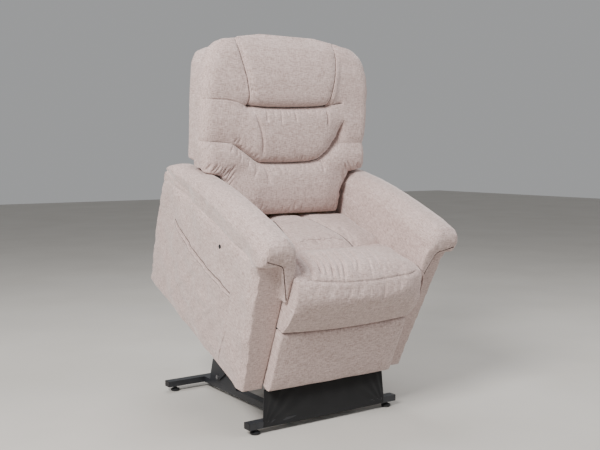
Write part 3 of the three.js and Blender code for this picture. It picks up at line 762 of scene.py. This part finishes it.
def back_shape(p, n):
    p = p.copy()
    low_right = eased((0.17 - p[:, 2]) / 0.03) * eased((p[:, 0] - 0.15) / 0.08)
    p[:, 0] -= low_right * np.interp(p[:, 2] / MM, [14, 60, 108, 142, 170], [16, 9, 8, 3, 0]) * MM
    front = back_front(*(p[:, FRONT_PLAN] / MM).T) * MM
    distance = segment_distances(p[:, FRONT_PLAN], BACK_OUTLINE, closed=True)[0].min(axis=1)
    sheet = (p[:, 1] < 0.034) & ((distance > 0.004) | (n[:, 1] < -0.6))
    p[:, 1] = np.where(sheet, front, np.maximum(p[:, 1], front))
    p = rounded_face(p, FRONT_PLAN, 1, -0.036, 0.075, BACK_OUTLINE, BACK_EDGES)
    return pressed(p, FRONT_PLAN, 1, -1, BACK_VALLEYS, p[:, 1] < 0.05)


def near_line(flat, line):
    """1 within 4 mm of a sewn line, and 0 from 16 mm on."""
    distance, _ = nearest_on_line(flat, np.array(line, float) * MM)
    return 1 - eased((distance - 0.004) / 0.012)


def back_held(p):
    """Pins the rear of the cover to its board, and the front along its main seams."""
    lines = (UNDER_PILLOW, UNDER_LUMBAR, LEFT_PILLOW_SEAM, RIGHT_PILLOW_SEAM, LEFT_LOW_SEAM)
    sewn = np.maximum.reduce([near_line(p[:, FRONT_PLAN], line) for line in lines])
    return np.maximum(eased((p[:, 1] - 0.050) / 0.014), sewn)


def back_finish(p, n):
    q = p.copy()
    q[:, FRONT_PLAN] = kept_inside(q[:, FRONT_PLAN], BACK_OUTLINE)
    lines = BACK_SEAMS + BACK_PUCKERS
    for row in BACK_GATHERS:
        lines += gathers(*row)
    q = pressed(q, FRONT_PLAN, 1, -1, lines, (n[:, 1] < 0.15) & (q[:, 1] < 0.06))
    lobe = eased((-0.262 - q[:, 0]) / 0.03) * eased((0.250 - q[:, 2]) / 0.05) * eased((0.03 - q[:, 1]) / 0.03)
    q[:, 2] -= 0.011 * lobe
    q[:, 0] += sideways(q[:, 2])
    return q


def shell_finish(p, n):
    q = p + n * (wobble(p, 0.25, 51) * 0.0016)[:, None]
    q[:, 0] *= 1 + 0.012 * eased((q[:, 2] - 0.19) / 0.03)
    q[:, 1] += 0.012 * np.clip(q[:, 2] / 0.6, 0, 1) * eased((q[:, 1] - 0.09) / 0.05)
    seam = [([(108, 205), (108, 590)], 3.5, 2.4, 10)]
    for sign in (-1, 1):
        q = pressed(q, SIDE_PLAN, 0, sign, seam, n[:, 0] * sign > 0.6)
    rear = [([(-300, 60), (-300, 590)], 3.5, 2.0, 10), ([(300, 60), (300, 590)], 3.5, 2.0, 10),
            ([(-300, 196), (300, 196)], 3.5, 2.4, 6)]
    return pressed(q, FRONT_PLAN, 1, 1, rear, n[:, 1] > 0.6)


# ---- the seat, arms and footrest --------------------------------------------------------------
# Lines on the seat and arms are drawn in mm, in the coordinates of the chair.
CROSS_SEAM = [(-273, 212), (-190, 198), (-110, 189), (0, 184), (110, 189), (190, 198), (273, 212)]
SEAT_CHANNEL = [(149, 190), (105, 314), (80, 431), (64, 500)]
SEAT_CHANNELS = [[(-x, y) for x, y in SEAT_CHANNEL], SEAT_CHANNEL]
SEAT_CREST = [(x, 448 + (14 if x < 0 else 8) * (x / 250) ** 2) for x in range(-248, 249, 16)]
# Where the gathers of the bolster start along the cross seam, and how deep they are, in mm
BOLSTER_GATHERS = [(-205, 4), (-172, 9), (-136, 15), (-110, 9), (-84, 12), (-58, 8), (-30, 10), (0, 6),
                   (34, 7), (72, 4), (112, 4), (156, 2.5)]


def arm_inner_x(z):
    """Where the inner face of an arm stands, in m from the middle, at a height."""
    return 0.270 + 0.02 * z


def against_arms(p, gap):
    """Fills a piece out to the inner faces of the arms."""
    q = p.copy()
    limit = arm_inner_x(q[:, 2]) - gap
    near = eased((np.abs(q[:, 0]) - 0.22) / 0.04)
    q[:, 0] += np.sign(q[:, 0]) * near * 0.010
    q[:, 0] = np.clip(q[:, 0], -limit, limit)
    return q


def seat_shape(p, n):
    """Crowns the seat, rounds its sides, more so in front and on the sitter's left, and sinks its seams."""
    bolster = eased((0.17 - p[:, 1]) / 0.10) * eased((p[:, 2] - 0.33) / 0.08)
    reach = 0.034 + 0.070 * bolster
    side = np.clip((np.abs(p[:, 0]) - (0.273 - reach)) / reach, 0, 1)
    left = p[:, 0] > 0
    drop = np.where(left, 0.010, 0.002) + np.where(left, 0.030, 0.004) * bolster
    fall = (1 - np.sqrt(1 - side**2)) * drop
    flat = n.copy()
    flat[:, 0] = 0
    crown = np.clip(1 - (p[:, 0] / 0.26) ** 2, 0, 1) * (0.004 + 0.007 * bolster)
    p = p + flat * (crown - fall)[:, None]
    creases = [(CROSS_SEAM, 28, 14, 0)] + [(line, 22, 12, 0) for line in SEAT_CHANNELS]
    return pressed(p, TOP_PLAN, 2, 1, creases, p[:, 2] > 0.40)


def seat_held(p):
    """Pins the underside and rear of the cover, and its top along the cross seam."""
    seam = near_line(p[:, TOP_PLAN], CROSS_SEAM) * (p[:, 2] > 0.38)
    return np.maximum.reduce([eased((0.345 - p[:, 2]) / 0.02), eased((p[:, 1] - 0.46) / 0.02), seam])


def bolster_gathers():
    """Creases that run forward from the cross seam over the bolster, leaning to the sitter's right."""
    rng = np.random.default_rng(61)
    creases = []
    for x, deep in BOLSTER_GATHERS:
        lean = rng.uniform(-62, -40)
        line = [(x, 125), (x + 0.1 * lean, 85), (x + 0.45 * lean, 20), (x + lean, rng.uniform(-76, -45))]
        creases.append((line, rng.uniform(4.0, 6.0), deep, 40))
    return creases


def sag(p, past):
    """How far the middle of a long level edge hangs below its ends, where points lie past its height."""
    return (1 - (p[:, 0] / 0.275) ** 2) * eased(past / 0.02) * 0.008


def seat_finish(p, n):
    q = against_arms(p, 0.0008)
    q[:, 2] -= sag(q, 0.275 - q[:, 2])
    top_lines = [(line, 5, 2.5, 0) for line in SEAT_CHANNELS] + [(CROSS_SEAM, 5, 5, 0)]
    top_lines += bolster_gathers()
    q = pressed(q, TOP_PLAN, 2, 1, top_lines, n[:, 2] > 0.25)
    front_lines = [(SEAT_CREST, 3.6, 5, 12)]
    front_lines += gathers([(-240, 446), (240, 446)], 60, 1.0, 36, 62, (0, -1))
    return pressed(q, FRONT_PLAN, 1, -1, front_lines, n[:, 1] < -0.25)


# Lines on the outer sides of the arms are drawn in (y, z), and the hem of an arm's front in (x, z)
POCKET_MOUTH_Y = [131, 300, 441, 572, 604]
POCKET_MOUTH_Z = [315, 317, 327, 356, 361]
POCKET_FRONT_SEAM = [(131, 172), (150, 60), (172, 20)]
PAD_CREASE = [(722, 478), (600, 486), (450, 492), (300, 494), (120, 496), (20, 502)]
PAD_SHOULDER = [(560, 520), (400, 534), (240, 538), (110, 536)]
HEM = [(403, 535), (372, 525), (342, 513), (328, 504), (321, 486), (303, 430), (285, 376)]
# Where an arm's inner face stands, in m: below its pad, and at places along its pad
ARM_INNER = 0.2795
PAD_INNER_Y = [0.0, 0.06, 0.2, 0.35, 0.59, 0.73]
PAD_INNER_X = [0.2825, 0.281, 0.281, 0.283, 0.289, 0.291]


def arm_outer_x(z):
    """Where the flat outer face of an arm's frame stands, in m from the middle, at a height."""
    return 0.360 + 0.096 * z


def pocket_mouth(raised):
    """The line of the pocket's mouth, in (y, z), raised by some mm."""
    return [(y, z + raised) for y, z in zip(POCKET_MOUTH_Y, POCKET_MOUTH_Z)]


def outer_bulge(y, z):
    """How far the padded outer side of an arm stands out from its frame."""
    height, length = np.clip(z / 0.5, 0, 1), np.clip(y / 0.78, 0, 1)
    return 0.010 * np.sin(math.pi * height) * (0.35 + 0.65 * np.sin(math.pi * length))


def pad_crest(places=24, reach=0.03):
    """The height of the top of an arm pad, at some places along the arm."""
    probe = copy_of_nodes(["arm_pad_left"], "pad_probe", CHAIR)
    voxel_remesh(probe, 0.010)
    points = coords(probe)
    bpy.data.objects.remove(probe)
    along = np.linspace(points[:, 1].min(), points[:, 1].max(), places)
    return along, np.array([points[np.abs(points[:, 1] - y) < reach, 2].max() for y in along])


PAD_CREST = pad_crest()


def arm_shape(sign):
    """Shapes an arm on one side. Inside, x is taken as the distance from the middle of the chair."""
    def shape(p, n):
        x, y, z = p[:, 0] * sign, p[:, 1], p[:, 2]
        outer = eased((x - 0.33) / 0.03)
        x = x + outer * outer_bulge(y, z) * (z < 0.5)
        pad_inner = np.interp(y, PAD_INNER_Y, PAD_INNER_X)
        inner = ARM_INNER + (pad_inner - ARM_INNER) * np.clip((z - 0.47) / 0.08, 0, 1)
        below_pad = (x < 0.31) & (z > 0.47) & (z < 0.55) & (y > 0.004) & (n[:, 0] * sign < 0.2)
        x = np.where(below_pad, np.minimum(x, inner), x)
        crest = np.interp(y, *PAD_CREST)
        z = z - 0.012 * eased((0.335 - x) / 0.05) * eased((z - crest + 0.06) / 0.05)
        front_corner = eased((0.030 - y) / 0.030) * outer * eased((0.49 - z) / 0.03)
        return np.stack([(x - front_corner * 0.010) * sign, y, z], axis=1)
    return shape


def arm_side_creases(sign):
    creases = [(PAD_CREASE, 20, 6, 60), (PAD_CREASE, 7, 3, 60), (PAD_SHOULDER, 14, 3, 80)]
    if sign < 0:
        creases += [(pocket_mouth(3), 4.0, 3, 10), (POCKET_FRONT_SEAM, 3, 1.6, 6)]
    return creases


def arm_finish(sign):
    def finish(p, n):
        q = p.copy()
        side = q[:, SIDE_PLAN]
        out = n[:, 0] * sign > 0.45
        waves = wobble(side, 0.17, 72 + sign) * 0.0032 + wobble(side, 0.07, 75 + sign) * 0.0012
        q[out, 0] += sign * waves[out]
        inner = n[:, 0] * sign < -0.55
        ripples = np.sin(side[:, 0] * 190 + wobble(side, 0.1, 78) * 1.6 + side[:, 1] * 60) * 0.0007
        q[inner, 0] += sign * ripples[inner] * eased((side[inner, 1] - 0.42) / 0.06)
        q = pressed(q, SIDE_PLAN, 0, sign, arm_side_creases(sign), out)
        hem = [(sign * x, z) for x, z in HEM]
        lines = [(hem, 4.0, 5, 6)] + gathers(hem[:4], 30, 3.0, 11, 83, (0, 1))
        return pressed(q, FRONT_PLAN, 1, -1, lines, n[:, 1] < -0.05)
    return finish


def panel_shape(p, n):
    return p.copy()


def footrest_finish(p, n):
    q = against_arms(p, 0.0012)
    across = np.clip(1 - (q[:, 0] / 0.27) ** 4, 0, 1)
    middle = across * np.clip(1 - ((q[:, 2] - 0.13) / 0.125) ** 4, 0, 1)
    front = n[:, 1] < -0.3
    q[front, 1] -= middle[front] * 0.006 + wobble(q[front], 0.16, 91) * 0.0012
    q[:, 2] -= sag(q, q[:, 2] - 0.22)
    return q


def rear_finish(p, n):
    return p + n * (wobble(p, 0.18, 95) * 0.0010)[:, None]


def pocket_shares(y, z, mouth):
    """How far the pocket is free of its sewn edges, and how far it opens towards its mouth."""
    sewn = eased((y - 0.131) / 0.02) * eased((z - 0.018) / 0.02) * eased((0.604 - y) / 0.02)
    opened = (1 - np.clip((mouth - z) / 0.10, 0, 1)) * eased((y - 0.145) / 0.04)
    return sewn, opened * eased((0.600 - y) / 0.04)


def pocket_finish(p, n):
    """The pocket lies flat along its sewn edges and stands a little open at its mouth."""
    q = p.copy()
    y, z = q[:, 1], q[:, 2]
    mouth = np.interp(y / MM, POCKET_MOUTH_Y, POCKET_MOUTH_Z) * MM
    proud = -arm_outer_x(z) - q[:, 0]
    sewn, opened = pocket_shares(y, z, mouth)
    folds = np.sin((y * 0.8 + z) * 70 + wobble(q[:, SIDE_PLAN], 0.12, 98) * 2) * 0.0016
    folds *= sewn * eased((mouth - z) / 0.06) * eased((z - 0.03) / 0.05)
    tree = surface_tree(PIECES["arm_r"].obj)
    hits = [tree.ray_cast(Vector((-0.6, *point[1:])), Vector((1, 0, 0)), 0.5)[0] for point in q]
    skin = np.array([-arm_outer_x(point[2]) if hit is None else hit.x for hit, point in zip(hits, q)])
    q[:, 0] = skin - proud * (0.35 * sewn + 0.75 * opened) - folds
    return q


BACK_CUSHIONS = ["head_pillow", "lumbar_cushion", "lower_back_cushion", "back_wing_left", "back_wing_right"]
PIECES = {
    "back": Padded("back_cover", BACK_CUSHIONS, "backrest", BACK, 5, back_shape, back_finish, 3,
                   held=back_held, slack=0.03),
    "shell": Padded("back_shell_cover", ["back_shell"], "backrest", BACK, 7, panel_shape, shell_finish, 4),
    "seat": Padded("seat_cover", ["seat_cushion"], "chair", CHAIR, 5, seat_shape, seat_finish, 3,
                   held=seat_held, slack=0.02),
    "arm_l": Padded("arm_cover_left", ["arm_side_left", "arm_pad_left"], "chair", CHAIR, 5,
                    arm_shape(1), arm_finish(1), 3),
    "arm_r": Padded("arm_cover_right", ["arm_side_right", "arm_pad_right"], "chair", CHAIR, 5,
                    arm_shape(-1), arm_finish(-1), 3),
    "footrest": Padded("footrest_cover", ["footrest_pad"], "footrest", CHAIR, 5, panel_shape,
                       footrest_finish, 3),
    "rear": Padded("rear_cover", ["rear_panel"], "chair", CHAIR, 4, panel_shape, rear_finish, 2, fill=0.9),
    "pocket": Padded("pocket_cover", ["side_pocket"], "chair", CHAIR, 3, panel_shape, pocket_finish, 1,
                     fill=0.3),
}


# ---- dark threads of painted seam shade, piping and stitches laid on the covers ----------------
def settled(path):
    """The path with single steps up or down taken out of it."""
    path = np.array([tuple(p) for p in path])
    padded = np.pad(path, ((4, 4), (0, 0)), "edge")
    steady = np.median([padded[i:i + len(path)] for i in range(9)], axis=0)
    padded = np.pad(steady, ((2, 2), (0, 0)), "edge")
    return np.mean([padded[i:i + len(path)] for i in range(5)], axis=0)


# For each way of drawing a line: where a point (a, b) stands, and the direction in which it drops
DRAWN = {
    "front": (lambda a, b: (a, 0, b), (0, 1, 0)),
    "top": (lambda a, b: (a, b, 700), (0, 0, -1)),
    "right side": (lambda a, b: (0, a, b), (1, 0, 0)),
}


def dropped(key, drawn, line, lift):
    """A line in mm laid on the surface of a cover, and lifted off it."""
    if key == "back":
        line = [(x + sideways(s * MM) / MM, s) for x, s in line]
    place, direction = DRAWN[drawn]
    fine = resampled([(*point, 0) for point in line], 4)
    keys = ["arm_r", "pocket"] if drawn == "right side" else [key]
    landed = on_surface([PIECES[k].obj for k in keys], [place(a, b) for a, b, _ in fine], direction, lift)
    return settled(landed)


# Painted seam shade: dark threads laid along sewn lines, the hems and the pocket mouth, standing in for the
# shade there. Columns: cover, how the line is drawn, the line, radius of its thread in mm
SEAM_SHADE_LINES = [
    ("back", "front", UNDER_PILLOW, 1.5),
    ("back", "front", UNDER_LUMBAR[2:], 1.4),
    ("back", "front", LEFT_PILLOW_SEAM[:-1], 1.3),
    ("back", "front", RIGHT_PILLOW_SEAM[:-1], 0.9),
    ("back", "front", LEFT_TOP_SEAM, 0.7),
    ("back", "front", LEFT_LOW_SEAM, 0.9),
    ("back", "front", RIGHT_TOP_SEAM, 1.0),
    ("back", "front", RIGHT_DART[:2] + [(166, 356)], 0.9),
    ("seat", "top", SEAT_CHANNELS[0][:3], 1.5),
    ("seat", "top", SEAT_CHANNELS[1][:3], 1.5),
    ("arm_l", "front", HEM, 1.3),
    ("arm_r", "front", [(-x, z) for x, z in HEM], 1.3),
    ("arm_r", "right side", pocket_mouth(6), 1.4),
]
# How far the dark threads of painted seam shade stand off each cover, in mm
SEAM_LIFT = {"back": -0.2, "seat": 1.2, "arm_l": 0.6, "arm_r": 0.6}
TOPSTITCHED = [("seat", "front", SEAT_CREST[1:-1]), ("pocket", "right side", pocket_mouth(-9))]


# Lays dark threads of painted shade along the seams, hems and pocket mouth of each cover
def add_seam_shade_threads():
    for key, lift in SEAM_LIFT.items():
        lines = [(drawn, line, radius) for name, drawn, line, radius in SEAM_SHADE_LINES if name == key]
        paths = [resampled(dropped(key, drawn, line, lift), 0.003) for drawn, line, _ in lines]
        shade_threads = tubes(f"{key}_seams", paths, [radius * MM for *_, radius in lines], PIECES[key].matrix, 6)
        # the dark seam slot paints shade into the seams
        dressed(shade_threads, "seam", PIECES[key].body)


def add_pillow_piping():
    for line, label in ((RIGHT_PILLOW_SEAM, "left"), (LEFT_PILLOW_SEAM, "right")):
        beside = [(x + 4.5, s) for x, s in line[:-1]]
        path = resampled(dropped("back", "front", beside, -0.6), 0.003)
        dressed(tubes(f"pillow_welt_{label}", [path], [0.0023], BACK), "upholstery", "backrest")


def add_topstitching():
    for key, drawn, line in TOPSTITCHED:
        stitches = stitch_paths(dropped(key, drawn, line, 0.2))
        thread = tubes(f"{key}_topstitching", stitches, [0.0008] * len(stitches), CHAIR, 6)
        dressed(thread, "seam", "chair")


# ---- the cloth skirt over the front tube ------------------------------------------------------
SKIRT_COLUMNS, SKIRT_ROWS = 96, 26


def skirt_folds(u, v):
    """How far the skirt stands forward at (u, v): fans from its lower corners, and soft waves higher up."""
    fan = 0.0
    for corner in (0.0, 1.0):
        across, up = abs(u - corner) * 0.54, v * 0.123 + 0.01
        angle = math.atan2(up, across)
        fan += math.sin(angle * 19 + corner * 2) * math.exp(-math.hypot(across, up) / 0.12)
    soft = math.sin(u * 23 + 3 * v) * 0.4 + math.sin(u * 41 + 1.7) * 0.25
    return 0.0030 * fan * min(1, v * 4) + 0.0024 * soft * v


def skirt_point(u, v, low, high):
    """A point of the skirt: u runs from its right end to its left, v from its lower edge to its upper."""
    left, right = 0.272 - 0.014 * v, -0.274 + 0.004 * v
    y = (low.y + high.y) / 2 - 0.0012 - skirt_folds(u, v)
    z = low.z + (high.z - low.z) * v - 0.003 * math.sin(math.pi * u) * (1 - v)
    return right + (left - right) * u, y, z


def add_skirt():
    """A thin sheet held along the front tube, creased towards its lower corners."""
    low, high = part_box("front_valance")
    vertices = [skirt_point(column / SKIRT_COLUMNS, row / SKIRT_ROWS, low, high)
                for row in range(SKIRT_ROWS + 1) for column in range(SKIRT_COLUMNS + 1)]
    wide = SKIRT_COLUMNS + 1
    faces = [(r * wide + c, r * wide + c + 1, (r + 1) * wide + c + 1, (r + 1) * wide + c)
             for r in range(SKIRT_ROWS) for c in range(SKIRT_COLUMNS)]
    skirt = new_object("front_skirt", vertices, faces)
    thick = skirt.modifiers.new("cloth", "SOLIDIFY")
    thick.thickness = 0.0009
    thick.offset = 0
    apply_modifiers(skirt)
    dressed(skirt, "black_cloth", "base", ["front_valance"])
    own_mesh(skirt)


# ---- everything together ----------------------------------------------------------------------
add_camera()
add_floor()
add_sky()
for light in LIGHTS:
    add_area_light(*light)
dress_cad_nodes()
for piece in PIECES.values():
    piece.start()
simulate(PIECES.values())
for piece in PIECES.values():
    piece.complete()
add_seam_shade_threads()
add_pillow_piping()
add_topstitching()
add_skirt()
